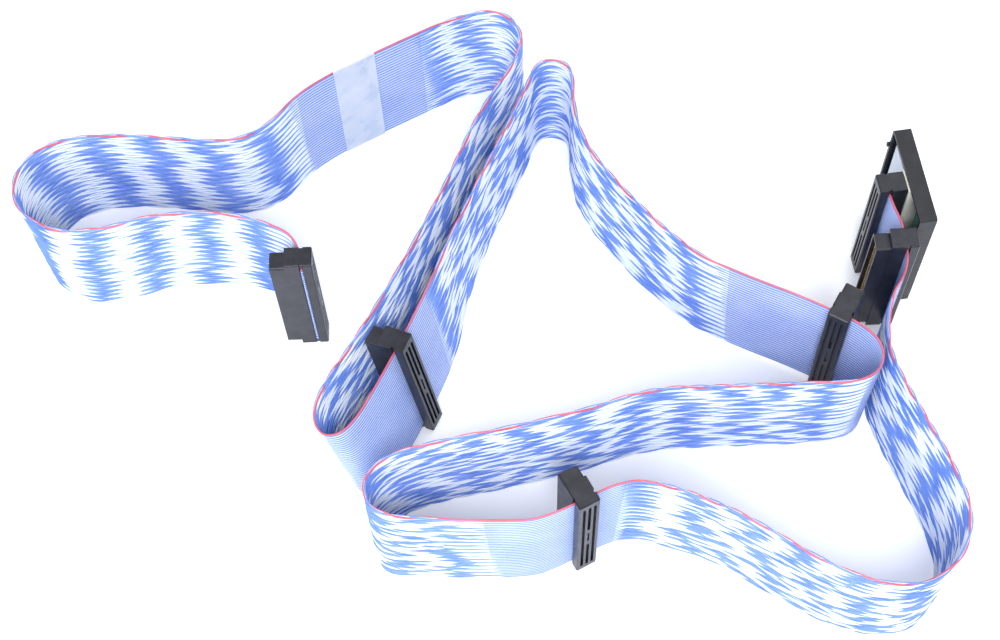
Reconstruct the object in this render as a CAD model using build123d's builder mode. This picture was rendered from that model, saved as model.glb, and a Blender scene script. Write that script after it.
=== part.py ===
from build123d import *
import os
from math import ceil, hypot, tan, radians

# Flat ribbon cable of 68 conductors, laid on its edge in one long loose route.
# Six ribbon connectors are clamped on it. The last one is plugged into a small terminator box.
# The frame: X along the longest side of the laid cable, Y across it, Z up, and the table is at Z = 0.
# All sizes are in millimetres.

os.makedirs("parts", exist_ok=True)

# ---- Ribbon -------------------------------------------------------------------------------------
conductor_count = 68
conductor_pitch = 0.635
ribbon_width = conductor_count * conductor_pitch
ribbon_thickness = 0.9
arc_step = 12.0                 # turn between two neighbouring sections of a bend, in degrees

# ---- Connectors ---------------------------------------------------------------------------------
ribbon_clearance = 0.1          # on each side of the ribbon in its slot
connector_post = 2.31           # at each end of the slot, along the width of the ribbon
connector_length = ribbon_width + 2 * (ribbon_clearance + connector_post)
connector_width = 6.4           # along the conductors
connector_corner = 0.5
cover_depth = 2.6
base_depth = 2.1
flange_depth = 2.1
shroud_depth = 4.3
shroud_inset = 1.5              # of the shroud from each end of the flange
shroud_length = connector_length - 2 * shroud_inset
shroud_width = 6.0
shroud_wall = 0.6
shroud_corner = 0.8
shroud_side_angle = 86.0        # the slanted ends let the plug enter one way round only
pins_per_row = conductor_count // 2
pin_pitch = 2 * conductor_pitch
pin_row_spacing = 1.9
pin_size = 0.4
pin_reach = 3.5                 # beyond the flange, into the shroud
pin_clearance = 0.02

cover_chamfer = 0.3
groove_end = 2.5                # from the end of a groove to the end of the cover
groove_length = connector_length - 2 * groove_end
groove_width = 0.9
groove_spacing = 1.65
groove_depth = 1.1
bridge_length = 11.0            # the block that breaks the middle groove of a cover
bridge_recess_length = 6.0
bridge_recess_width = 0.6
bridge_recess_depth = 0.5

# ---- Terminator ---------------------------------------------------------------------------------
plug_gap = 0.85                 # between the flange of the last plug and the rim of the case
terminator_height = connector_length
terminator_near = 14.3          # from the plug to the near end of the case
terminator_far = 17.2           # from the plug to the far end of the case
case_wall = 0.8
case_floor = 0.5
case_corner = 0.8
board_thickness = 0.7
board_clearance = 0.1
mating_clearance = 0.1
receptacle_floor = 0.35
receptacle_wall = 0.5
tongue_clearance = 0.15
channel_inner = 0.55            # a pin channel runs between these two distances from the middle
channel_outer = 1.5
channel_end_gap = 0.1
contact_clearance = 0.02        # between a contact and the outer wall of its channel
contact_thickness = 0.2
contact_width = 0.5
contact_length = 3.6
chip_length = 17.9
chip_width = 7.5
chip_height = 2.3
chip_standoff = 0.15
chip_spacing = 20.0
chip_draft = 4                  # slope of a chip's sides, in degrees
lead_count = 14
lead_pitch = 1.27
lead_width = 0.42
lead_reach = 1.3
lead_thickness = 0.25
label_thickness = 0.15
label_inset = 0.4               # from each outer end of the two chips it is stuck on
capacitor_length = 3.2
capacitor_width = 1.6
capacitor_height = 1.4
capacitor_pitch = 6.0
capacitor_count = 4
capacitor_below_middle = 9.6
hook_size = 1.4
hook_height = 0.9
hook_below_top = 7.0

# ---- Wrapped label ------------------------------------------------------------------------------
wrap_length = 14.0
wrap_thickness = 0.2
wrap_clearance = 0.05

# ---- Heights of the ribbon's centreline ----------------------------------------------------------
held = connector_length / 2                     # where a connector carries it
laid = ribbon_width / 2 + wrap_thickness + wrap_clearance        # where it is free
half_way = (held + laid) / 2
held_tilted = held + 0.45                       # at the connector that leans

# ---- Route --------------------------------------------------------------------------------------
# One row for each corner of the route: x, y, height, and how far the top edge of the ribbon stands
# out from its bottom edge, along x and along y. The centreline is straight runs joined by arcs.
route = [
    (-47.5, 5.0, held, 0.0, 0.0),
    (-47.5, 15.5, held, 0.0, 0.0),
    (-60.0, 23.0, half_way, 0.0, 0.0),
    (-72.0, 27.0, laid, 0.0, 0.0),
    (-90.0, 27.5, laid, 0.0, 0.0),
    (-106.0, 23.0, laid, 0.0, 0.0),
    (-119.0, 22.5, laid, -0.5, 0.5),
    (-130.0, 30.0, laid, -1.5, 0.5),
    (-133.0, 42.0, laid, -1.5, 0.5),
    (-125.0, 53.0, laid, -1.0, 0.0),
    (-111.0, 56.5, laid, 0.0, -1.0),
    (-91.0, 54.5, laid, 0.0, -1.0),
    (-70.0, 51.0, laid, 0.0, -0.5),
    (-58.0, 56.0, laid, 0.0, 0.0),
    (-48.0, 69.5, laid, 0.0, 0.0),
    (-17.0, 85.5, laid, 0.0, 0.0),
    (0.0, 93.5, laid, 0.0, 0.0),
    (13.0, 95.0, laid, 0.0, 0.0),
    (19.5, 85.5, laid, 0.0, 0.0),
    (15.5, 74.0, laid, 0.0, 0.0),
    (4.5, 58.0, laid, 0.0, 0.0),
    (-6.0, 32.0, laid, -1.0, 0.0),
    (-18.5, 6.0, laid, -2.5, 0.0),
    (-30.0, -16.0, laid, -5.0, 0.0),
    (-38.5, -30.0, laid, -6.5, 0.0),
    (-41.5, -39.0, laid, -7.0, 0.0),
    (-38.0, -45.5, laid, -7.0, 0.0),
    (-31.0, -44.5, half_way, -7.0, 0.0),
    (-22.0, -30.0, held_tilted, -7.0, 0.0),
    (-9.0, -4.0, held_tilted, -7.0, 0.0),
    (-2.5, 19.0, laid, -2.0, 0.0),
    (7.5, 42.0, laid, 0.0, 0.0),
    (15.0, 57.0, laid, 0.0, 0.0),
    (19.3, 66.5, laid, 0.0, 0.0),
    (22.0, 74.0, laid, 0.0, 0.0),
    (28.2, 75.9, laid, 0.0, 0.0),
    (33.4, 72.0, laid, 0.0, 0.0),
    (32.6, 61.0, laid, 0.0, 0.0),
    (34.5, 46.0, laid, 0.0, 0.0),
    (46.0, 27.5, laid, 0.0, 0.0),
    (63.0, 7.0, laid, 0.0, 0.0),
    (78.0, -2.5, half_way, 0.0, 0.0),
    (94.5, -11.3, held, 0.0, 0.0),
    (111.0, -21.6, held, 0.0, 0.0),
    (113.4, -29.5, held, 0.0, -1.5),
    (108.5, -36.0, held, 0.0, -1.5),
    (94.0, -36.2, half_way, 0.0, -0.5),
    (70.0, -35.5, laid, 0.0, -0.5),
    (49.0, -35.2, laid, 0.0, 0.0),
    (30.0, -41.0, laid, 0.0, 0.0),
    (7.0, -45.5, laid, 0.0, 0.0),
    (-15.0, -49.0, laid, 0.0, 0.0),
    (-25.5, -53.0, laid, 0.0, 1.5),
    (-30.3, -58.5, laid, 0.0, 2.0),
    (-30.3, -65.0, laid, 0.0, 2.0),
    (-26.0, -69.7, laid, 0.0, 2.0),
    (-11.0, -71.2, laid, 0.0, 1.0),
    (10.0, -72.9, half_way, 0.0, 0.5),
    (19.1, -72.1, held, 0.0, 0.0),
    (37.5, -63.1, held, 0.0, 0.0),
    (46.5, -63.4, half_way, 0.0, 0.5),
    (59.0, -67.5, laid, 0.0, 0.5),
    (72.0, -74.5, laid, 0.0, 0.5),
    (87.0, -85.5, laid, 0.0, 0.0),
    (101.0, -93.2, laid, 0.0, 0.0),
    (115.5, -95.2, laid, 0.5, 0.0),
    (125.5, -88.0, laid, 1.5, 0.5),
    (130.0, -75.5, laid, 1.5, 0.5),
    (126.5, -60.0, laid, 1.0, 0.0),
    (119.5, -42.0, laid, 0.5, 0.0),
    (114.4, -26.0, laid, 0.0, 0.0),
    (117.3, -11.0, half_way, 0.0, 0.0),
    (123.85, -2.2, held, 0.0, 0.0),
    (123.85, 11.3, held, 0.0, 0.0),
    (121.45, 19.0, held, 0.0, 0.0),
    (120.65, 27.0, held, 0.0, 0.0),
]

# The run that each connector is on, counted from the first, how far along that run its middle is,
# and the side of the ribbon that its plug faces, going along the route.
connectors = {
    "a": (0, connector_width / 2, "left"),
    "b": (28, 10.0, "left"),
    "d": (42, 9.7, "left"),
    "c": (58, 10.0, "left"),
    "f": (72, 7.7, "left"),
    "e": (74, 4.84, "right"),
}
wrap_run = 14
wrap_middle = 17.0


def corner(index):
    return Vector(*route[index][:3])


def run_length(index):
    return (corner(index + 1) - corner(index)).length


def turn_at(index):
    before = corner(index) - corner(index - 1)
    after = corner(index + 1) - corner(index)
    return before.get_angle(after)


# Each arc takes 0.45 of the shorter of its two runs.
bend_radii = [
    0.45 * min(run_length(i - 1), run_length(i)) / tan(radians(turn_at(i) / 2))
    for i in range(1, len(route) - 1)
]
print("bend radii:", [round(radius, 1) for radius in bend_radii])


def edge_direction(index):
    """Unit vector from the bottom edge of the ribbon to its top edge, at one corner."""
    return Vector(route[index][3], route[index][4], ribbon_width).normalized()


with BuildLine() as centreline:
    FilletPolyline(*[corner(i) for i in range(len(route))], radius=bend_radii)
path = centreline.wires()[0]
print("ribbon length:", round(path.length, 1))


def edge_direction_between(index, share):
    """The same, between a corner and the next one: share is how far along that run it is."""
    here = edge_direction(index)
    there = edge_direction(index + 1)
    return here * (1 - share) + there * share


def section_plane(point, along, index, share):
    """Plane across the ribbon: X through its thickness, Y towards its top edge."""
    up = edge_direction_between(index, share)
    return Plane(origin=point, x_dir=up.cross(along), z_dir=along)


def section_planes():
    """Planes at both ends of each straight run and at even turns round each bend."""
    planes = [section_plane(corner(0), path % 0, 0, 0)]
    for i in range(1, len(route) - 1):
        before = (corner(i) - corner(i - 1)).normalized()
        after = (corner(i + 1) - corner(i)).normalized()
        reach = 0.45 * min(run_length(i - 1), run_length(i))
        middle = corner(i) + (after - before).normalized() * (
            hypot(bend_radii[i - 1], reach))
        steps = max(2, ceil(turn_at(i) / arc_step))
        normal = before.cross(after).normalized()
        start = corner(i) - before * reach
        for step in range(steps + 1):
            turn = turn_at(i) * step / steps
            point = middle + (start - middle).rotate(Axis((0, 0, 0), normal), turn)
            along = before.rotate(Axis((0, 0, 0), normal), turn)
            if step * 2 <= steps:
                run = i - 1
                share = 1 - (corner(i) - point).length / run_length(i - 1)
            else:
                run = i
                share = (corner(i) - point).length / run_length(i)
            planes.append(section_plane(point, along, run, share))
    last = len(route) - 1
    planes.append(section_plane(corner(last), path % 1, last - 1, 1))
    return planes


with BuildPart() as ribbon:
    for plane in section_planes():
        with BuildSketch(plane):
            Rectangle(ribbon_thickness, ribbon_width)
    loft(ruled=True)
ribbon.part.label = "ribbon"
export_step(ribbon.part, "parts/ribbon.step")
print("ribbon volume over section times length:",
      round(ribbon.part.volume / (ribbon_thickness * ribbon_width * path.length), 4))


# ---- Connector pieces ---------------------------------------------------------------------------
slot_half = ribbon_thickness / 2 + ribbon_clearance
flange_start = slot_half + base_depth
shroud_start = flange_start + flange_depth
shroud_end = shroud_start + shroud_depth
pin_hole = pin_size + 2 * pin_clearance


def connector_plane(name):
    """Plane across the plugging direction: X up along the pins' rows, Z towards the plug's mouth."""
    run, distance, side = connectors[name]
    along = (corner(run + 1) - corner(run)).normalized()
    lean = edge_direction(run)
    up = (lean - along * lean.dot(along)).normalized()
    outward = up.cross(along) if side == "left" else along.cross(up)
    return Plane(origin=corner(run) + along * distance, x_dir=up, z_dir=outward)


def make_housing(plane):
    """Front of the plug: a flange, and a shroud with slanted ends round two rows of pins."""
    with BuildPart() as housing:
        with BuildSketch(plane.offset(flange_start)):
            RectangleRounded(connector_length, connector_width, connector_corner)
            with GridLocations(pin_pitch, pin_row_spacing, pins_per_row, 2):
                Rectangle(pin_hole, pin_hole, mode=Mode.SUBTRACT)
        extrude(amount=flange_depth)
        with BuildSketch(plane.offset(shroud_start)) as ring:
            Trapezoid(shroud_length, shroud_width, shroud_side_angle)
            fillet(ring.vertices(), shroud_corner)
            offset(amount=-shroud_wall, mode=Mode.SUBTRACT)
        extrude(amount=shroud_depth)
    return housing


def make_base(plane):
    """Block behind the flange that the ribbon lies against."""
    with BuildPart() as base:
        with BuildSketch(plane.offset(slot_half)):
            RectangleRounded(connector_length, connector_width, connector_corner)
            with GridLocations(pin_pitch, pin_row_spacing, pins_per_row, 2):
                Rectangle(pin_hole, pin_hole, mode=Mode.SUBTRACT)
        extrude(amount=base_depth)
    return base


def make_pins(plane):
    """Two rows of pins, from the ribbon through base and flange into the shroud."""
    with BuildPart() as pins:
        with BuildSketch(plane.offset(slot_half)):
            with GridLocations(pin_pitch, pin_row_spacing, pins_per_row, 2):
                Rectangle(pin_size, pin_size)
        extrude(amount=base_depth + flange_depth + pin_reach)
    return pins


def make_cover(plane):
    """Cap that presses the ribbon on the base: grooved outside, with a post at each end."""
    outer = plane.offset(-slot_half - cover_depth)
    with BuildPart() as cover:
        with BuildSketch(outer):
            RectangleRounded(connector_length, connector_width, connector_corner)
        extrude(amount=cover_depth)
        outer_face = cover.faces().sort_by(lambda face: face.center().dot(plane.z_dir))[0]
        chamfer(outer_face.edges(), cover_chamfer)
        with BuildSketch(outer):
            with GridLocations(0, groove_spacing, 1, 3):
                SlotOverall(groove_length, groove_width)
        extrude(amount=groove_depth, mode=Mode.SUBTRACT)
        with BuildSketch(outer):
            Rectangle(bridge_length, groove_width)
        extrude(amount=groove_depth)
        with BuildSketch(outer):
            SlotOverall(bridge_recess_length, bridge_recess_width)
        extrude(amount=bridge_recess_depth, mode=Mode.SUBTRACT)
        with BuildSketch(plane.offset(-slot_half)):
            with GridLocations(connector_length - connector_post, 0, 2, 1):
                Rectangle(connector_post, connector_width - 2 * connector_corner)
        extrude(amount=2 * slot_half)
    return cover


makers = {"housing": make_housing, "base": make_base, "pins": make_pins, "cover": make_cover}
for name in connectors:
    for piece, make in makers.items():
        built = make(connector_plane(name))
        built.part.label = f"connector_{name}_{piece}"
        export_step(built.part, f"parts/connector_{name}_{piece}.step")

# ---- Terminator ---------------------------------------------------------------------------------
# It is set out from the last plug. Its own directions: X up, Y along the board, Z into the case.
plug = connector_plane("e")
rim = shroud_start + plug_gap
receptacle_back = shroud_end + mating_clearance
board_face = receptacle_back + receptacle_floor
board_back = board_face + board_thickness
case_back = board_back + case_floor
case_length = terminator_near + terminator_far
case_middle = (terminator_near - terminator_far) / 2


def terminator_plane(depth, across=0.0, height=0.0):
    """Plane at a depth from the ribbon in the last plug, shifted along the board and up."""
    return Plane(
        origin=plug.origin + plug.z_dir * depth + plug.y_dir * across + plug.x_dir * height,
        x_dir=plug.x_dir, z_dir=plug.z_dir)


with BuildPart() as terminator_case:
    with BuildSketch(terminator_plane(rim, case_middle)):
        RectangleRounded(terminator_height, case_length, case_corner)
    extrude(amount=case_back - rim)
    with BuildSketch(terminator_plane(rim, case_middle)):
        Rectangle(terminator_height - 2 * case_wall, case_length - 2 * case_wall)
    extrude(amount=board_back - rim, mode=Mode.SUBTRACT)
    with BuildSketch(terminator_plane(rim - hook_height, -terminator_far + case_wall / 2,
                                      terminator_height / 2 - hook_below_top)):
        Rectangle(hook_size, case_wall)
    extrude(amount=hook_height)
terminator_case.part.label = "terminator_case"
export_step(terminator_case.part, "parts/terminator_case.step")

with BuildPart() as terminator_board:
    with BuildSketch(terminator_plane(board_face, case_middle)):
        Rectangle(terminator_height - 2 * (case_wall + board_clearance),
                  case_length - 2 * (case_wall + board_clearance))
    extrude(amount=board_thickness)
terminator_board.part.label = "terminator_board"
export_step(terminator_board.part, "parts/terminator_board.step")

# The receptacle goes round the shroud of the plug and fills it with a tongue.
tongue_offset = -shroud_wall - tongue_clearance
channel_middle = (channel_inner + channel_outer) / 2
channel_length = (pins_per_row - 1) * pin_pitch + contact_width + 2 * channel_end_gap
with BuildPart() as terminator_receptacle:
    with BuildSketch(terminator_plane(receptacle_back)) as rear:
        Rectangle(shroud_length + 2 * (mating_clearance + receptacle_wall),
                  shroud_width + 2 * (mating_clearance + receptacle_wall))
    extrude(amount=receptacle_floor)
    with BuildSketch(terminator_plane(rim - plug_gap / 2)) as wall:
        Rectangle(shroud_length + 2 * (mating_clearance + receptacle_wall),
                  shroud_width + 2 * (mating_clearance + receptacle_wall))
        Rectangle(shroud_length + 2 * mating_clearance, shroud_width + 2 * mating_clearance,
                  mode=Mode.SUBTRACT)
    extrude(amount=receptacle_back - rim + plug_gap / 2)
    with BuildSketch(terminator_plane(shroud_start + tongue_clearance)) as tongue:
        Trapezoid(shroud_length, shroud_width, shroud_side_angle)
        fillet(tongue.vertices(), shroud_corner)
        offset(amount=tongue_offset, mode=Mode.REPLACE)
    extrude(amount=receptacle_back - shroud_start - tongue_clearance)
    with BuildSketch(terminator_plane(shroud_start + tongue_clearance)):
        with Locations((0, channel_middle), (0, -channel_middle)):
            Rectangle(channel_length, channel_outer - channel_inner)
    extrude(amount=board_face - shroud_start - tongue_clearance, mode=Mode.SUBTRACT)
terminator_receptacle.part.label = "terminator_receptacle"
export_step(terminator_receptacle.part, "parts/terminator_receptacle.step")

contact_offset = channel_outer - contact_clearance - contact_thickness / 2
with BuildPart() as terminator_contacts:
    with BuildSketch(terminator_plane(board_face - contact_length)):
        with GridLocations(pin_pitch, 2 * contact_offset, pins_per_row, 2):
            Rectangle(contact_width, contact_thickness)
    extrude(amount=contact_length)
terminator_contacts.part.label = "terminator_contacts"
export_step(terminator_contacts.part, "parts/terminator_contacts.step")

receptacle_half = shroud_width / 2 + mating_clearance + receptacle_wall
chip_across = -(receptacle_half + terminator_far - case_wall) / 2
for place, height in (("upper", chip_spacing / 2), ("lower", -chip_spacing / 2)):
    with BuildPart() as chip:
        with BuildSketch(terminator_plane(board_face - chip_standoff, chip_across, height)):
            Rectangle(chip_length, chip_width)
        extrude(amount=-chip_height, taper=chip_draft)
    chip.part.label = f"terminator_chip_{place}"
    export_step(chip.part, f"parts/terminator_chip_{place}.step")

with BuildPart() as terminator_leads:
    with BuildSketch(terminator_plane(board_face, chip_across)):
        with GridLocations(chip_spacing, chip_width + lead_reach, 2, 2):
            with GridLocations(lead_pitch, 0, lead_count, 1):
                Rectangle(lead_width, lead_reach)
    extrude(amount=-lead_thickness)
terminator_leads.part.label = "terminator_leads"
export_step(terminator_leads.part, "parts/terminator_leads.step")

capacitor_across = (receptacle_half + terminator_near - case_wall) / 2
with BuildPart() as terminator_capacitors:
    with BuildSketch(terminator_plane(board_face, capacitor_across, -capacitor_below_middle)):
        with GridLocations(capacitor_pitch, 0, capacitor_count, 1):
            Rectangle(capacitor_length, capacitor_width)
    extrude(amount=-capacitor_height)
terminator_capacitors.part.label = "terminator_capacitors"
export_step(terminator_capacitors.part, "parts/terminator_capacitors.step")

label_depth = board_face - chip_standoff - chip_height
with BuildPart() as terminator_label:
    with BuildSketch(terminator_plane(label_depth, chip_across)):
        Rectangle(chip_spacing + chip_length - 2 * label_inset, chip_width + 2 * lead_reach)
    extrude(amount=-label_thickness)
terminator_label.part.label = "terminator_label"
export_step(terminator_label.part, "parts/terminator_label.step")

# ---- Label wrapped round a bare flat of the ribbon -------------------------------------------------
wrap_along = (corner(wrap_run + 1) - corner(wrap_run)).normalized()
with BuildPart() as ribbon_label:
    with BuildSketch(Plane(origin=corner(wrap_run) + wrap_along * (wrap_middle - wrap_length / 2),
                           x_dir=Vector(0, 0, 1).cross(wrap_along), z_dir=wrap_along)):
        Rectangle(ribbon_thickness + 2 * (wrap_clearance + wrap_thickness),
                  ribbon_width + 2 * (wrap_clearance + wrap_thickness))
        Rectangle(ribbon_thickness + 2 * wrap_clearance, ribbon_width + 2 * wrap_clearance,
                  mode=Mode.SUBTRACT)
    extrude(amount=wrap_length)
ribbon_label.part.label = "ribbon_label"
export_step(ribbon_label.part, "parts/ribbon_label.step")
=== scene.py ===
# %% [markdown]
# A ribbon cable stands on its edge in long loose loops. Thirty-four pairs of wires run side by side
# in it. Between the plugs each pair is twisted, and at each plug the pairs lie flat, so that the
# plug's teeth meet them. The frame holds the plugs and the terminator at their real size. This
# lesson makes the wires along one smooth route and gives every piece its finish.

# %% Load the frame
import math

import bmesh
import bpy
import numpy as np
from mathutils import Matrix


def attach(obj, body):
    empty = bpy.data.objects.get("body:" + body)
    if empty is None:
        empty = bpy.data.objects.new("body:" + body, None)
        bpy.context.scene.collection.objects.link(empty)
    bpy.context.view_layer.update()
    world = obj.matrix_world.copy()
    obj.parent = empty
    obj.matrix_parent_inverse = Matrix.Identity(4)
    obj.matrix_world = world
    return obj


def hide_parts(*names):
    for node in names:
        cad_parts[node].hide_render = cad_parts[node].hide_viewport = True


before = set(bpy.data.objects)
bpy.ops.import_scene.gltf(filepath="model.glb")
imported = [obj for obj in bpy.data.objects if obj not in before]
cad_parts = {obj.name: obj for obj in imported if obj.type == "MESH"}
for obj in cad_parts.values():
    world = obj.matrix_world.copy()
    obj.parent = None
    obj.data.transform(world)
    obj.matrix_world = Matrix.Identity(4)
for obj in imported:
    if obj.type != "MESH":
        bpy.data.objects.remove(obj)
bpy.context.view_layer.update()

# %% [markdown]
# The camera looks down at the cable from the front. Its direction could be set with three Euler
# angles, but a pitch below the horizon and a small roll are easier to think about, so its axes are
# worked out from those two. The lens comes from the focal length in image widths.

# %% Camera
CAMERA_PLACE = (0.0080, -0.2430, 0.4900)
CAMERA_PITCH = math.radians(62.7)      # below the horizon
CAMERA_ROLL = math.radians(-2.6)
FOCAL_WIDTHS = 1.8                     # focal length over image width
SENSOR_WIDTH = 36.0                    # millimetres
NEAREST_SEEN = 0.01


def camera_axes(pitch, roll):
    """Right, up and forward of a camera that looks along +Y and down: up is first square to the
    view, then right and up are turned about the view by the roll."""
    forward = np.array([0.0, math.cos(pitch), -math.sin(pitch)])
    level_right = np.array([1.0, 0.0, 0.0])
    level_up = np.cross(level_right, forward)
    right = math.cos(roll) * level_right + math.sin(roll) * level_up
    up = math.cos(roll) * level_up - math.sin(roll) * level_right
    return right, up, forward


camera_data = bpy.data.cameras.new("camera")
camera_data.sensor_width = SENSOR_WIDTH
camera_data.lens = SENSOR_WIDTH * FOCAL_WIDTHS
camera_data.clip_start = NEAREST_SEEN
camera = bpy.data.objects.new("camera", camera_data)
bpy.context.scene.collection.objects.link(camera)
right, up, forward = camera_axes(CAMERA_PITCH, CAMERA_ROLL)
camera_matrix = np.eye(4)
camera_matrix[:3] = np.column_stack([right, up, -forward, CAMERA_PLACE])
camera.matrix_world = camera_matrix.T
bpy.context.scene.camera = camera
print("lens:", round(camera_data.lens, 1), "mm")

# %% [markdown]
# The route is the list of corners that a hand would lay the ribbon round. A plug carries the ribbon
# a little higher than the floor lets it lie, so each row gives the height of the ribbon's middle
# too. The last two numbers of a row say how far the top edge leans out from the bottom edge.

# %% Route
MM = 0.001
CONDUCTORS = 68
PITCH = 0.635 * MM
WIDTH = CONDUCTORS * PITCH
HELD = 24.0                            # height of the middle line where a plug carries it
LAID = 21.84                           # and where the ribbon is free
HALF_WAY = 22.92
HELD_TILTED = 24.45
ROUTE = [                              # x, y, height, lean along x, lean along y, in millimetres
    (-47.5, 5.0, HELD, 0.0, 0.0),
    (-47.5, 15.5, HELD, 0.0, 0.0),
    (-60.0, 23.0, HALF_WAY, 0.0, 0.0),
    (-72.0, 27.0, LAID, 0.0, 0.0),
    (-90.0, 27.5, LAID, 0.0, 0.0),
    (-106.0, 23.0, LAID, 0.0, 0.0),
    (-119.0, 22.5, LAID, -0.5, 0.5),
    (-130.0, 30.0, LAID, -1.5, 0.5),
    (-133.0, 42.0, LAID, -1.5, 0.5),
    (-125.0, 53.0, LAID, -1.0, 0.0),
    (-111.0, 56.5, LAID, 0.0, -1.0),
    (-91.0, 54.5, LAID, 0.0, -1.0),
    (-70.0, 51.0, LAID, 0.0, -0.5),
    (-58.0, 56.0, LAID, 0.0, 0.0),
    (-48.0, 69.5, LAID, 0.0, 0.0),
    (-17.0, 85.5, LAID, 0.0, 0.0),
    (0.0, 93.5, LAID, 0.0, 0.0),
    (13.0, 95.0, LAID, 0.0, 0.0),
    (19.5, 85.5, LAID, 0.0, 0.0),
    (15.5, 74.0, LAID, 0.0, 0.0),
    (4.5, 58.0, LAID, 0.0, 0.0),
    (-6.0, 32.0, LAID, -1.0, 0.0),
    (-18.5, 6.0, LAID, -2.5, 0.0),
    (-30.0, -16.0, LAID, -5.0, 0.0),
    (-38.5, -30.0, LAID, -6.5, 0.0),
    (-41.5, -39.0, LAID, -7.0, 0.0),
    (-38.0, -45.5, LAID, -7.0, 0.0),
    (-31.0, -44.5, HALF_WAY, -7.0, 0.0),
    (-22.0, -30.0, HELD_TILTED, -7.0, 0.0),
    (-9.0, -4.0, HELD_TILTED, -7.0, 0.0),
    (-2.5, 19.0, LAID, -2.0, 0.0),
    (7.5, 42.0, LAID, 0.0, 0.0),
    (15.0, 57.0, LAID, 0.0, 0.0),
    (19.3, 66.5, LAID, 0.0, 0.0),
    (22.0, 74.0, LAID, 0.0, 0.0),
    (28.2, 75.9, LAID, 0.0, 0.0),
    (33.4, 72.0, LAID, 0.0, 0.0),
    (32.6, 61.0, LAID, 0.0, 0.0),
    (34.5, 46.0, LAID, 0.0, 0.0),
    (46.0, 27.5, LAID, 0.0, 0.0),
    (63.0, 7.0, LAID, 0.0, 0.0),
    (78.0, -2.5, HALF_WAY, 0.0, 0.0),
    (94.5, -11.3, HELD, 0.0, 0.0),
    (111.0, -21.6, HELD, 0.0, 0.0),
    (113.4, -29.5, HELD, 0.0, -1.5),
    (108.5, -36.0, HELD, 0.0, -1.5),
    (94.0, -36.2, HALF_WAY, 0.0, -0.5),
    (70.0, -35.5, LAID, 0.0, -0.5),
    (49.0, -35.2, LAID, 0.0, 0.0),
    (30.0, -41.0, LAID, 0.0, 0.0),
    (7.0, -45.5, LAID, 0.0, 0.0),
    (-15.0, -49.0, LAID, 0.0, 0.0),
    (-25.5, -53.0, LAID, 0.0, 1.5),
    (-30.3, -58.5, LAID, 0.0, 2.0),
    (-30.3, -65.0, LAID, 0.0, 2.0),
    (-26.0, -69.7, LAID, 0.0, 2.0),
    (-11.0, -71.2, LAID, 0.0, 1.0),
    (10.0, -72.9, HALF_WAY, 0.0, 0.5),
    (19.1, -72.1, HELD, 0.0, 0.0),
    (37.5, -63.1, HELD, 0.0, 0.0),
    (46.5, -63.4, HALF_WAY, 0.0, 0.5),
    (59.0, -67.5, LAID, 0.0, 0.5),
    (72.0, -74.5, LAID, 0.0, 0.5),
    (87.0, -85.5, LAID, 0.0, 0.0),
    (101.0, -93.2, LAID, 0.0, 0.0),
    (115.5, -95.2, LAID, 0.5, 0.0),
    (125.5, -88.0, LAID, 1.5, 0.5),
    (130.0, -75.5, LAID, 1.5, 0.5),
    (126.5, -60.0, LAID, 1.0, 0.0),
    (119.5, -42.0, LAID, 0.5, 0.0),
    (114.4, -26.0, LAID, 0.0, 0.0),
    (117.3, -11.0, HALF_WAY, 0.0, 0.0),
    (123.85, -2.2, HELD, 0.0, 0.0),
    (123.85, 11.3, HELD, 0.0, 0.0),
    (121.45, 19.0, HELD, 0.0, 0.0),
    (120.65, 27.0, HELD, 0.0, 0.0),
]
print(len(ROUTE), "corners, ribbon", round(WIDTH / MM, 2), "mm wide")

# %% [markdown]
# Three NURBS splines share these corners: the middle line, the top edge and the bottom edge. Bezier
# curves would need two handles for each corner. A NURBS spline of order 3 needs none. It is smooth
# and touches the middle of each run between corners, so it looks like a springy ribbon and not like
# bent wire.

# %% Splines
SPLINE_STEPS = 24                      # points that Blender works out for each corner


def spline_points(name, corners):
    """The points of a smooth NURBS spline with these corners as its control points, as Blender
    gives them for a curve with no bevel."""
    data = bpy.data.curves.new(name, "CURVE")
    data.dimensions = "3D"
    data.resolution_u = SPLINE_STEPS
    spline = data.splines.new("NURBS")
    spline.points.add(len(corners) - 1)
    with_weights = np.hstack([corners, np.ones((len(corners), 1))])
    spline.points.foreach_set("co", with_weights.ravel())
    spline.order_u = 3
    spline.use_endpoint_u = True
    holder = bpy.data.objects.new(name, data)
    mesh = bpy.data.meshes.new_from_object(holder)
    points = np.empty(len(mesh.vertices) * 3)
    mesh.vertices.foreach_get("co", points)
    bpy.data.objects.remove(holder)
    bpy.data.curves.remove(data)
    bpy.data.meshes.remove(mesh)
    return points.reshape(-1, 3)


rows = np.array(ROUTE) * MM
middle_corners = rows[:, :3]
edge_way = np.column_stack([rows[:, 3:], np.full(len(rows), WIDTH)])
edge_way /= np.linalg.norm(edge_way, axis=1, keepdims=True)
middle = spline_points("middle_line", middle_corners)
top_edge = spline_points("top_edge", middle_corners + edge_way * WIDTH / 2)
bottom_edge = spline_points("bottom_edge", middle_corners - edge_way * WIDTH / 2)
travelled = np.concatenate([[0], np.cumsum(np.linalg.norm(np.diff(middle, axis=0), axis=1))])
RIBBON_LENGTH = travelled[-1]
print("ribbon length:", round(RIBBON_LENGTH, 4), "m, from", len(middle), "points")

# %% [markdown]
# Every wire follows the same three lines, so they are read once at even distances: where the
# middle is, which way is up across the ribbon, and which way is out of its face.

# %% Stations along the ribbon
STATION_STEP = 1.35 * MM
stations = np.linspace(0, RIBBON_LENGTH, int(RIBBON_LENGTH / STATION_STEP) + 1)


def at_stations(points):
    """Points of a line read at the stations' distances along the middle line, by straight
    blending between its neighbours."""
    return np.column_stack([np.interp(stations, travelled, points[:, k]) for k in range(3)])


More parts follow.
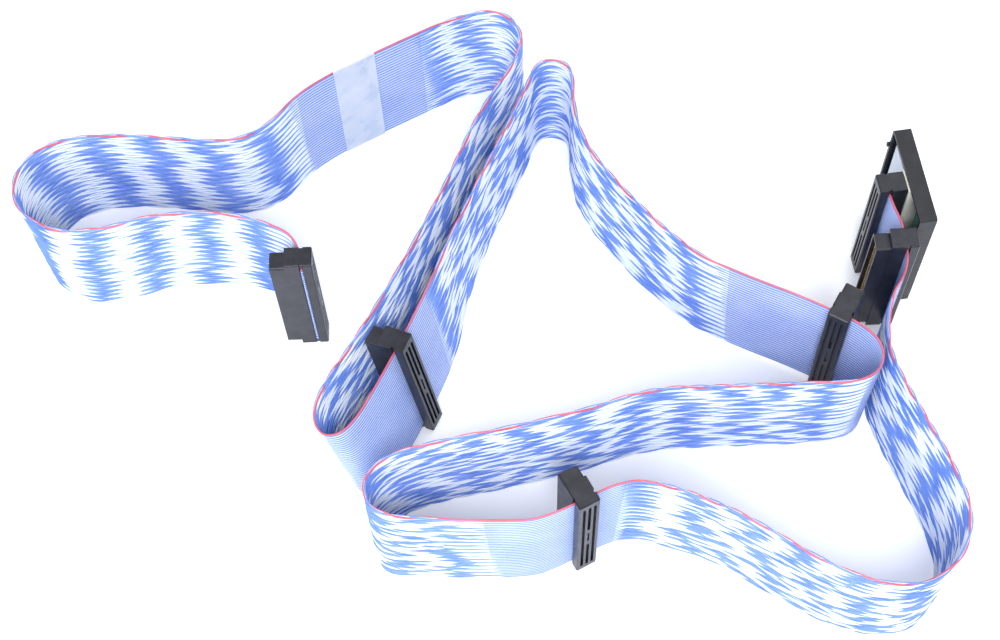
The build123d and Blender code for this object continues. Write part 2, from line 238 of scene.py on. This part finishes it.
def unit(vectors):
    """Each row divided by its length."""
    return vectors / np.linalg.norm(vectors, axis=-1, keepdims=True)


centre = at_stations(middle)
upward = unit(at_stations(top_edge) - at_stations(bottom_edge))
along = unit(np.gradient(centre, axis=0))
upward = unit(upward - along * np.sum(upward * along, axis=1, keepdims=True))
outward = np.cross(upward, along)
print(len(stations), "stations")

# %% [markdown]
# Along the cable, flats and twisted stretches take turns. A wire of a pair circles the pair's own
# middle line. Neighbouring pairs turn opposite ways, and every second pair starts half a turn
# later, so that the white wires of two neighbours come to the front together and cross. That gives
# the rows of pale lozenges. A flat needs each wire back in its own lane, so every stretch holds
# whole turns.

# %% Turns of the pairs
FLATS = [(0.0, 12.0), (201.0, 245.0), (425.0, 478.0), (661.0, 719.0), (902.0, 941.0),
         (1120.0, 1170.0)]             # in millimetres from the first plug's end
LAY = 16.5                             # millimetres of ribbon for one turn of a pair


def turns_made(where, late):
    """Turns of a pair from the start of the ribbon to each place, in millimetres. Turns rise
    evenly over each twisted stretch and stay still in a flat. A late pair begins half a lay later,
    ends half a lay sooner and makes one turn fewer."""
    places, turns, made = [], [], 0
    for (_, begin), (end, _) in zip(FLATS[:-1], FLATS[1:]):
        count = round((end - begin) / LAY)
        half_lay = (end - begin) / count / 2
        places += [begin + half_lay * late, end - half_lay * late]
        turns += [made, made + count - late]
        made = turns[-1]
    return np.interp(where, places, turns)


for late in range(2):
    print("turns of a late pair:" if late else "turns of a pair:",
          round(float(turns_made(RIBBON_LENGTH / MM, late)), 1))

# %% [markdown]
# A machine twists the pairs, but handling leaves them a little uneven. Random steps would make the
# wires jump, so each pair gets two slow sine waves of its own. They fade out at every flat, where
# all wires are back in their lanes.

# %% Unevenness of the twist
PAIRS = CONDUCTORS // 2
WANDER_TURNS = (0.09, 0.24)            # how far a pair's twist strays: near the start, and further on
WANDER_GROWS = (150.0, 300.0)          # between these places along the ribbon, in millimetres
WANDER_LENGTHS = (60.0, 170.0)         # and over how many millimetres it strays and comes back
SETTLE = 14.0                          # from a flat to where the twist may stray fully
straying = np.random.default_rng(7)
stray_phase = straying.uniform(0, 2 * math.pi, (PAIRS, 2))
stray_length = straying.uniform(*WANDER_LENGTHS, (PAIRS, 2))


def wander(pair, where):
    """Turns that a pair strays at each place: the sum of its two sine waves, times how far it may
    stray there, times a ramp that is nothing at a flat and one at the settling distance."""
    waves = np.sin(2 * math.pi * where[:, None] / stray_length[pair] + stray_phase[pair]).sum(1)
    to_flat = np.full(len(where), np.inf)
    for begin, end in FLATS:
        to_flat = np.minimum(to_flat, np.maximum(begin - where, where - end))
    may_stray = np.interp(where, WANDER_GROWS, WANDER_TURNS)
    return may_stray * waves * np.clip(to_flat / SETTLE, 0, 1)


print("farthest stray of the first pair:",
      round(float(np.abs(wander(0, stations / MM)).max()), 2), "turns")

# %% [markdown]
# With its turns known, a wire's middle line is a circle's cosine and sine about the pair's own
# line: the cosine moves it across the ribbon, and the sine moves it out of the face. The two wires
# of a pair are half a circle apart.

# %% Line of one wire
BAND_SLANT = 0.12                      # how far the twist runs ahead across the width
TWIST_RADIUS = PITCH / 2


def wire_line(number):
    """How far a wire lies up and out from the ribbon's middle at every station: its pair's place
    across, plus a circle whose angle is the pair's turns. Odd pairs turn the other way."""
    pair, side = divmod(number, 2)
    across = (pair - (PAIRS - 1) / 2) * 2 * PITCH
    late = pair % 2
    turns = turns_made(stations / MM + BAND_SLANT * across / MM, late)
    turns = turns + wander(pair, stations / MM)
    half_circle = math.pi * (side == 0)
    angle = 2 * math.pi * turns * (-1 if late else 1) + half_circle
    return across + TWIST_RADIUS * np.cos(angle), TWIST_RADIUS * np.sin(angle)


first_up, first_out = wire_line(0)
print("first wire reaches", round(float(np.abs(first_out).max()) / MM, 3), "mm out of the middle")

# %% [markdown]
# A long thing of one section is a grid: one parameter runs along it and the other round it. A bevel
# on a curve would make such a tube too, but then every wire would be an object. Here all wires of
# one colour and one half of the ribbon become one mesh, and the film and the skins over the flats
# use the same grid with square ends.

# %% Meshes from grids


def grid_mesh(name, grids, square_ends=False):
    """One mesh of several grids of points with shape (along, round, 3). Neighbouring points make a
    four-sided face, and the last column joins the first. With square ends, the first and last rows
    of four points are filled in, and the faces are shaded flat."""
    points, faces, start = [], [], 0
    for grid in grids:
        count, around = grid.shape[:2]
        row, column = np.meshgrid(np.arange(count - 1), np.arange(around), indexing="ij")
        beside = (column + 1) % around
        quads = np.stack([row * around + column, row * around + beside,
                          (row + 1) * around + beside, (row + 1) * around + column], axis=-1)
        faces.append(quads.reshape(-1, 4) + start)
        if square_ends:
            first_row = np.arange(around) + start
            last_row = first_row + (count - 1) * around
            faces.append(np.array([first_row[::-1], last_row]))
        points.append(grid.reshape(-1, 3))
        start += count * around
    points, faces = np.concatenate(points), np.concatenate(faces)
    mesh = bpy.data.meshes.new(name)
    mesh.vertices.add(len(points))
    mesh.vertices.foreach_set("co", points.ravel())
    mesh.loops.add(faces.size)
    mesh.loops.foreach_set("vertex_index", faces.ravel().astype(np.int32))
    mesh.polygons.add(len(faces))
    mesh.polygons.foreach_set("loop_start", (np.arange(len(faces)) * 4).astype(np.int32))
    mesh.update(calc_edges=True)
    mesh.validate()
    mesh.polygons.foreach_set("use_smooth", np.full(len(mesh.polygons), not square_ends))
    return mesh


def new_piece(name, mesh, material):
    """An object at the origin that rides on the part and has one finish."""
    piece = bpy.data.objects.new(name, mesh)
    bpy.context.scene.collection.objects.link(piece)
    mesh.materials.append(material)
    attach(piece, "root")
    return piece


def box_section(half_out, bottom, top):
    """Four corners of a rectangle in the ribbon's cross section, as distances out and up."""
    return np.array([-1, 1, 1, -1]) * half_out, np.array([bottom, bottom, top, top])


def carried(outs, ups, inside=slice(None)):
    """Grid of a section carried along the stations inside: centre, plus up times each corner's
    height, plus outward times each corner's distance out."""
    return centre[inside][:, None] + upward[inside][:, None] * ups[None, :, None] + (
        outward[inside][:, None] * outs[None, :, None])


print("faces round the ribbon's own box:", 4 * (len(stations) - 1) + 2)

# %% [markdown]
# A wire's skin is a ring of five points carried along its line. Five are enough, because there are
# sixty-eight wires and each is thinner than a pencil lead. The last ring at each end shrinks to one
# point, and merging its points closes the wire.

# %% Skin of one wire
WIRE_RADIUS = 0.305 * MM
WIRE_SIDES = 5
SAME_PLACE = 0.001 * MM


def tube_grid(number):
    """Rings about a wire's line: the line, plus outward times a cosine, plus up times a sine, so
    that the faces point outwards. One more ring at each end has no radius."""
    up_part, out_part = wire_line(number)
    line = centre + upward * up_part[:, None] + outward * out_part[:, None]
    line = np.concatenate([line[:1], line, line[-1:]])
    up_way = np.concatenate([upward[:1], upward, upward[-1:]])
    out_way = np.concatenate([outward[:1], outward, outward[-1:]])
    radius = np.full(len(line), WIRE_RADIUS)
    radius[[0, -1]] = 0
    angle = np.arange(WIRE_SIDES) * 2 * math.pi / WIRE_SIDES
    ring = (out_way[:, None] * np.cos(angle)[None, :, None]
            + up_way[:, None] * np.sin(angle)[None, :, None])
    return line[:, None] + ring * radius[:, None, None]


def merged(mesh):
    """The mesh with points that lie on each other made one, which closes every wire's ends."""
    worked = bmesh.new()
    worked.from_mesh(mesh)
    bmesh.ops.remove_doubles(worked, verts=worked.verts, dist=SAME_PLACE)
    worked.to_mesh(mesh)
    worked.free()
    return mesh


print("grid of one wire:", tube_grid(0).shape)

# %% [markdown]
# Finishes are built from a few nodes each. One helper starts a material with the shader's own
# sockets set. Small helpers add what a finish needs: a smooth random grain, a tint that follows it,
# and a roughness that follows it. The grain reads Object coordinates, so that nothing slides when
# the view changes. The first finish is the clear film's: a pale blue gloss, slightly uneven.

# %% Finish helpers and the film's finish


def finish(name, **sockets):
    """A new material whose main shader has these sockets set, where specular_ior_level stands for
    the socket Specular IOR Level, and so on."""
    material = bpy.data.materials.new(name)
    material.use_nodes = True
    shader = material.node_tree.nodes["Principled BSDF"]
    for socket, value in sockets.items():
        shader.inputs[socket.replace("_", " ").title().replace("Ior", "IOR")].default_value = value
    return material, material.node_tree, shader


def noise(tree, scale, detail=3.0):
    """Smooth random grain over the object, with its scale in features a metre."""
    place = tree.nodes.new("ShaderNodeTexCoord")
    grain = tree.nodes.new("ShaderNodeTexNoise")
    grain.inputs["Scale"].default_value = scale
    grain.inputs["Detail"].default_value = detail
    tree.links.new(place.outputs["Object"], grain.inputs["Vector"])
    return grain


def tint(tree, shader, grain, low, high, start=0.35, end=0.65):
    """Colour that goes from low to high as the grain rises from start to end."""
    ramp = tree.nodes.new("ShaderNodeValToRGB")
    ramp.color_ramp.elements[0].position = start
    ramp.color_ramp.elements[0].color = (*low, 1)
    ramp.color_ramp.elements[1].position = end
    ramp.color_ramp.elements[1].color = (*high, 1)
    tree.links.new(grain.outputs["Fac"], ramp.inputs["Fac"])
    tree.links.new(ramp.outputs["Color"], shader.inputs["Base Color"])


def roughen(tree, shader, grain, low, high):
    """Roughness that follows the grain between two values."""
    span = tree.nodes.new("ShaderNodeMapRange")
    span.inputs["To Min"].default_value = low
    span.inputs["To Max"].default_value = high
    tree.links.new(grain.outputs["Fac"], span.inputs["Value"])
    tree.links.new(span.outputs["Result"], shader.inputs["Roughness"])


film_skin, film_tree, film_shader = finish("carrier_film", specular_ior_level=0.5,
                                           coat_weight=0.5, coat_roughness=0.15)
film_grain = noise(film_tree, scale=120.0)
tint(film_tree, film_shader, film_grain, (0.50, 0.64, 0.90), (0.66, 0.78, 0.96))
roughen(film_tree, film_shader, film_grain, 0.2, 0.35)
print("made", film_skin.name)

# %% [markdown]
# Insulation is soft extruded plastic. Its colour is slightly uneven, it has a clear gloss, and it
# is faintly wavy where it shrank on the strands. The waves are finer than the grid of a wire, so
# they are a bump and not geometry. Each pair has one blue and one white wire, and the first
# conductor is red.

# %% Insulation


def bumpy(tree, shader, grain, height, strength):
    """Fine relief from the grain, with its height in metres."""
    bump = tree.nodes.new("ShaderNodeBump")
    bump.inputs["Distance"].default_value = height
    bump.inputs["Strength"].default_value = strength
    tree.links.new(grain.outputs["Fac"], bump.inputs["Height"])
    tree.links.new(bump.outputs["Normal"], shader.inputs["Normal"])


def insulation(name, low, high):
    """Soft plastic between two near colours, with a clear gloss and a faint waviness."""
    material, tree, shader = finish(name, specular_ior_level=0.5, coat_weight=0.25,
                                    coat_roughness=0.22)
    patches = noise(tree, scale=90.0)
    tint(tree, shader, patches, low, high)
    roughen(tree, shader, patches, 0.28, 0.42)
    bumpy(tree, shader, noise(tree, scale=900.0, detail=2.0), height=0.04 * MM, strength=0.3)
    return material


blue_skin = insulation("blue_insulation", (0.105, 0.225, 0.70), (0.165, 0.305, 0.80))
white_skin = insulation("white_insulation", (0.71, 0.80, 0.97), (0.83, 0.88, 0.98))
red_skin = insulation("red_insulation", (0.56, 0.07, 0.13), (0.70, 0.13, 0.19))
print("made", blue_skin.name, white_skin.name, red_skin.name)

# %% [markdown]
# Now the wires themselves. Even numbers are blue and odd numbers white, counted from the lower edge
# of the ribbon. The last, at the top edge, is the red one. The lower and the upper half are
# separate pieces, so that none is too heavy.

# %% Wires
RED_WIRE = CONDUCTORS - 1
MIDDLE_WIRE = CONDUCTORS // 2
groups = {
    "blue_wires_lower": (range(0, MIDDLE_WIRE, 2), blue_skin),
    "white_wires_lower": (range(1, MIDDLE_WIRE, 2), white_skin),
    "blue_wires_upper": (range(MIDDLE_WIRE, CONDUCTORS, 2), blue_skin),
    "white_wires_upper": (range(MIDDLE_WIRE + 1, RED_WIRE, 2), white_skin),
    "marked_edge_wire": ([RED_WIRE], red_skin),
}
for name, (numbers, skin) in groups.items():
    mesh = merged(grid_mesh(name, [tube_grid(number) for number in numbers]))
    new_piece(name, mesh, skin)
    print(name, len(numbers), "wires,", len(mesh.polygons), "faces")

# %% [markdown]
# A clear film carries the pairs. It is one thin strip through the middle of the ribbon, closed all
# round. It has the ribbon's real length and width, and it takes the place of the frame's ribbon,
# which is hidden.

# %% Carrier film
FILM_HALF = 0.05 * MM
FILM_EDGE = WIDTH / 2 - 0.15 * MM
film_grid = carried(*box_section(FILM_HALF, -FILM_EDGE, FILM_EDGE))
film = new_piece("carrier_film", grid_mesh("carrier_film", [film_grid], square_ends=True),
                 film_skin)
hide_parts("ribbon")
print("film:", round(RIBBON_LENGTH, 3), "m by", round(WIDTH, 4), "m")

# %% [markdown]
# In a flat the wires are bonded side by side in a lightly tinted skin. The wires show through it as
# fine lines, and it ends in a clean edge. Each skin is a closed sleeve round the wires. It is partly
# see-through by a constant alpha, which is simpler than real refraction and as true in so thin a
# layer. The marked wire stays outside.

# %% Bonding skins over the flats
SKIN_HALF = 0.36 * MM
SKIN_TOP = WIDTH / 2 - PITCH
SKIN_BOTTOM = -WIDTH / 2 - 0.02 * MM
skin_finish, skin_tree, skin_shader = finish("bonding_skin", alpha=0.22, specular_ior_level=0.5)
skin_grain = noise(skin_tree, scale=110.0)
tint(skin_tree, skin_shader, skin_grain, (0.22, 0.38, 0.84), (0.30, 0.46, 0.90))
roughen(skin_tree, skin_shader, skin_grain, 0.28, 0.42)
for number, (begin, end) in enumerate(FLATS, start=1):
    name = f"flat_{number}_skin"
    inside = (stations >= begin * MM) & (stations <= end * MM)
    sleeve = carried(*box_section(SKIN_HALF, SKIN_BOTTOM, SKIN_TOP), inside)
    new_piece(name, grid_mesh(name, [sleeve], square_ends=True), skin_finish)
    print(name, np.count_nonzero(inside), "stations")

# %% [markdown]
# The plugs are moulded in glass-filled black plastic. It is not quite black: it has a fine grain
# and a broad soft sheen, so that edges and grooves read. The frame's meshes have the real edges
# already, so only the finish is added.

# %% Black plastics


def plug_plastic(name, low, high, roughness, relief):
    """Black plastic with a fine moulded grain of this relief and a slightly uneven sheen."""
    material, tree, shader = finish(name, specular_ior_level=0.4)
    tint(tree, shader, noise(tree, scale=260.0), low, high)
    roughen(tree, shader, noise(tree, scale=420.0), roughness - 0.07, roughness + 0.1)
    bumpy(tree, shader, noise(tree, scale=5200.0, detail=2.0), relief, strength=0.35)
    return material


housing_skin = plug_plastic("black_housing", (0.008, 0.009, 0.015), (0.018, 0.020, 0.031),
                            roughness=0.34, relief=0.03 * MM)
cover_skin = plug_plastic("black_cover", (0.006, 0.007, 0.012), (0.014, 0.016, 0.026),
                          roughness=0.32, relief=0.02 * MM)
case_skin = plug_plastic("black_case", (0.006, 0.007, 0.011), (0.013, 0.014, 0.021),
                         roughness=0.38, relief=0.03 * MM)
print("made", housing_skin.name, cover_skin.name, case_skin.name)

# %% [markdown]
# Pins and contacts are gold plated, and the chips' leads are tinned. Both are plain metals whose
# colour and polish vary a little, as plating does.

# %% Metals


def plating(name, low, high, polish, grain_scale):
    """Metal between two near colours, with its roughness between the two values of the polish."""
    material, tree, shader = finish(name, metallic=1.0)
    grain = noise(tree, grain_scale)
    tint(tree, shader, grain, low, high)
    roughen(tree, shader, grain, *polish)
    return material


gold_skin = plating("gold_plate", (0.92, 0.62, 0.24), (1.0, 0.78, 0.42), polish=(0.34, 0.55),
                    grain_scale=600.0)
tin_skin = plating("tinned_leads", (0.62, 0.63, 0.65), (0.82, 0.83, 0.84), polish=(0.22, 0.45),
                   grain_scale=900.0)
print("made", gold_skin.name, tin_skin.name)

# %% [markdown]
# The terminator is a shallow black box with a green board in it. Copper tracks run under the
# board's solder mask. They could be drawn one by one, but they are much thinner than the mask is
# wide, so a wave pattern gives them: bands of a lighter green with a little relief.

# %% Circuit board
TRACK_PATTERN = {"Scale": 250.0, "Distortion": 1.6, "Detail": 1.0, "Detail Scale": 0.4}
board_skin, board_tree, board_shader = finish("solder_mask", specular_ior_level=0.55,
                                              coat_weight=0.4, coat_roughness=0.12, roughness=0.34)
board_place = board_tree.nodes.new("ShaderNodeTexCoord")
tracks = board_tree.nodes.new("ShaderNodeTexWave")
tracks.wave_type = "BANDS"
tracks.bands_direction = "Z"
for socket, value in TRACK_PATTERN.items():
    tracks.inputs[socket].default_value = value
board_tree.links.new(board_place.outputs["Object"], tracks.inputs["Vector"])
tint(board_tree, board_shader, tracks, (0.016, 0.19, 0.135), (0.045, 0.33, 0.25), 0.45, 0.6)
bumpy(board_tree, board_shader, tracks, height=0.03 * MM, strength=0.4)
print("made", board_skin.name)

# %% [markdown]
# The other pieces of the terminator are plain and matt: speckled epoxy chips, an ivory receptacle,
# ceramic capacitors and a paper label with nothing on it. One function makes all four, because
# only colour, grain and polish differ.

# %% Small pieces of the terminator


def matt_piece(name, low, high, grain_scale, roughness):
    """Plain matt material: two near colours in a grain, and a fine relief."""
    material, tree, shader = finish(name, specular_ior_level=0.5)
    grain = noise(tree, grain_scale)
    tint(tree, shader, grain, low, high)
    roughen(tree, shader, grain, roughness - 0.05, roughness + 0.08)
    bumpy(tree, shader, noise(tree, scale=6000.0, detail=2.0), height=0.02 * MM, strength=0.35)
    return material


chip_skin = matt_piece("chip_epoxy", (0.012, 0.012, 0.014), (0.035, 0.036, 0.04),
                       grain_scale=3000.0, roughness=0.55)
ivory_skin = matt_piece("ivory_receptacle", (0.66, 0.65, 0.58), (0.76, 0.75, 0.69),
                        grain_scale=300.0, roughness=0.45)
ceramic_skin = matt_piece("capacitor_ceramic", (0.36, 0.25, 0.16), (0.48, 0.35, 0.23),
                          grain_scale=1500.0, roughness=0.5)
paper_skin = matt_piece("plain_paper_label", (0.70, 0.78, 0.88), (0.80, 0.86, 0.93),
                        grain_scale=500.0, roughness=0.5)
print("made", chip_skin.name, ivory_skin.name, ceramic_skin.name, paper_skin.name)

# %% [markdown]
# A strip of clear film is wrapped round one flat as a label. It is milky, so the wires show
# through it only faintly. A constant alpha on the shader does that, and a broad bump stands for the
# soft creases of the wrap.

# %% Film label
wrap_skin, wrap_tree, wrap_shader = finish("milky_film_label", alpha=0.54,
                                           specular_ior_level=0.6, coat_weight=0.6,
                                           coat_roughness=0.1)
wrap_grain = noise(wrap_tree, scale=160.0)
tint(wrap_tree, wrap_shader, wrap_grain, (0.70, 0.80, 0.95), (0.88, 0.93, 0.99))
roughen(wrap_tree, wrap_shader, wrap_grain, 0.18, 0.4)
creases = noise(wrap_tree, scale=220.0, detail=1.0)
bumpy(wrap_tree, wrap_shader, creases, height=0.2 * MM, strength=0.4)
print("made", wrap_skin.name)

# %% [markdown]
# The frame's nodes keep their meshes and places, and only get their finishes. A node's finish is
# looked up by its whole name or, as the six plugs repeat, by the last word of its name.

# %% Finishes of the frame's nodes
finishes = {
    "ribbon": film_skin, "ribbon_label": wrap_skin, "terminator_label": paper_skin,
    "housing": housing_skin, "base": housing_skin, "cover": cover_skin, "pins": gold_skin,
    "case": case_skin, "board": board_skin, "receptacle": ivory_skin, "contacts": gold_skin,
    "upper": chip_skin, "lower": chip_skin, "leads": tin_skin, "capacitors": ceramic_skin,
}
for name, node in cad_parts.items():
    last_word = name.split("_")[-1]
    node.data.materials.clear()
    node.data.materials.append(finishes[name if name in finishes else last_word])
print(len(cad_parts), "nodes finished")

# %% [markdown]
# The floor is a plain pale sheet. To show as white without more light on the cable, it glows a
# little, but only for rays that come straight from the camera, from a mirror or through a clear
# thing. The cable's shadow stays on it.

# %% Floor
FLOOR_HALF = 1.5
FLOOR_COLOUR = (0.86, 0.88, 0.93)
FLOOR_LIFT = 0.26                      # glow that the camera sees on the floor


def seen_directly(tree):
    """Socket that is one for rays from the camera, a mirror or a clear thing, and nought for the
    rest: the greatest of the three."""
    path = tree.nodes.new("ShaderNodeLightPath")
    seen = path.outputs["Is Camera Ray"]
    for kind in ("Is Glossy Ray", "Is Transmission Ray"):
        either = tree.nodes.new("ShaderNodeMath")
        either.operation = "MAXIMUM"
        tree.links.new(seen, either.inputs[0])
        tree.links.new(path.outputs[kind], either.inputs[1])
        seen = either.outputs[0]
    return seen


floor_mesh = bpy.data.meshes.new("floor")
floor_corners = np.array([(-1, -1, 0), (1, -1, 0), (1, 1, 0), (-1, 1, 0)]) * FLOOR_HALF
floor_mesh.from_pydata(floor_corners.tolist(), [], [(0, 1, 2, 3)])
floor = bpy.data.objects.new("floor", floor_mesh)
bpy.context.scene.collection.objects.link(floor)
floor_skin, floor_tree, floor_shader = finish("pale_floor", base_color=(*FLOOR_COLOUR, 1),
                                              roughness=0.9, specular_ior_level=0.0,
                                              emission_color=(1, 1, 1, 1))
floor_mesh.materials.append(floor_skin)
lift = floor_tree.nodes.new("ShaderNodeMath")
lift.operation = "MULTIPLY"
lift.inputs[1].default_value = FLOOR_LIFT
floor_tree.links.new(seen_directly(floor_tree), lift.inputs[0])
floor_tree.links.new(lift.outputs[0], floor_shader.inputs["Emission Strength"])
print("floor:", 2 * FLOOR_HALF, "m wide")

# %% [markdown]
# The world is the soft light from all sides. It is white to the camera, and a little weaker where
# it lights the cable.

# %% World
WORLD_LIGHT = 0.75
world = bpy.data.worlds.new("studio")
bpy.context.scene.world = world
world.use_nodes = True
world_tree = world.node_tree
background = world_tree.nodes["Background"]
background.inputs["Color"].default_value = (1, 1, 1, 1)
strength = world_tree.nodes.new("ShaderNodeMapRange")
strength.inputs["To Min"].default_value = WORLD_LIGHT
strength.inputs["To Max"].default_value = 1.0
world_tree.links.new(seen_directly(world_tree), strength.inputs["Value"])
world_tree.links.new(strength.outputs["Result"], background.inputs["Strength"])
print("world light:", WORLD_LIGHT)

# %% [markdown]
# Three soft square lamps shape the loops. The front lamp stands near the camera, so the ribbon's
# near faces are the brightest. A large low lamp on the left stands for a window, and a wide one
# overhead fills the shadows.

# %% Lamps
LAMP_TARGET = (0, 0, 0.02)
LAMPS = {                              # place and side in metres, power in watts
    "front_lamp": ((0.02, -0.50, 0.80), 0.25, 6.2),
    "window_lamp": ((-0.55, -0.85, 0.50), 0.45, 5.0),
    "ceiling_lamp": ((0.3, 0.3, 1.1), 0.9, 3.0),
}


def lamp(name, place, size, power):
    """A square soft lamp that faces the target: its axes are level sideways, square to that, and
    back from the target."""
    data = bpy.data.lights.new(name, "AREA")
    data.size = size
    data.energy = power
    holder = bpy.data.objects.new(name, data)
    bpy.context.scene.collection.objects.link(holder)
    back = unit(np.array(place) - np.array(LAMP_TARGET))
    side = unit(np.cross([0, 0, 1], back))
    lamp_matrix = np.eye(4)
    lamp_matrix[:3] = np.column_stack([side, np.cross(back, side), back, place])
    holder.matrix_world = lamp_matrix.T


for name, (place, size, power) in LAMPS.items():
    lamp(name, place, size, power)
bpy.context.scene.view_settings.view_transform = "Standard"
print(len(LAMPS), "lamps")
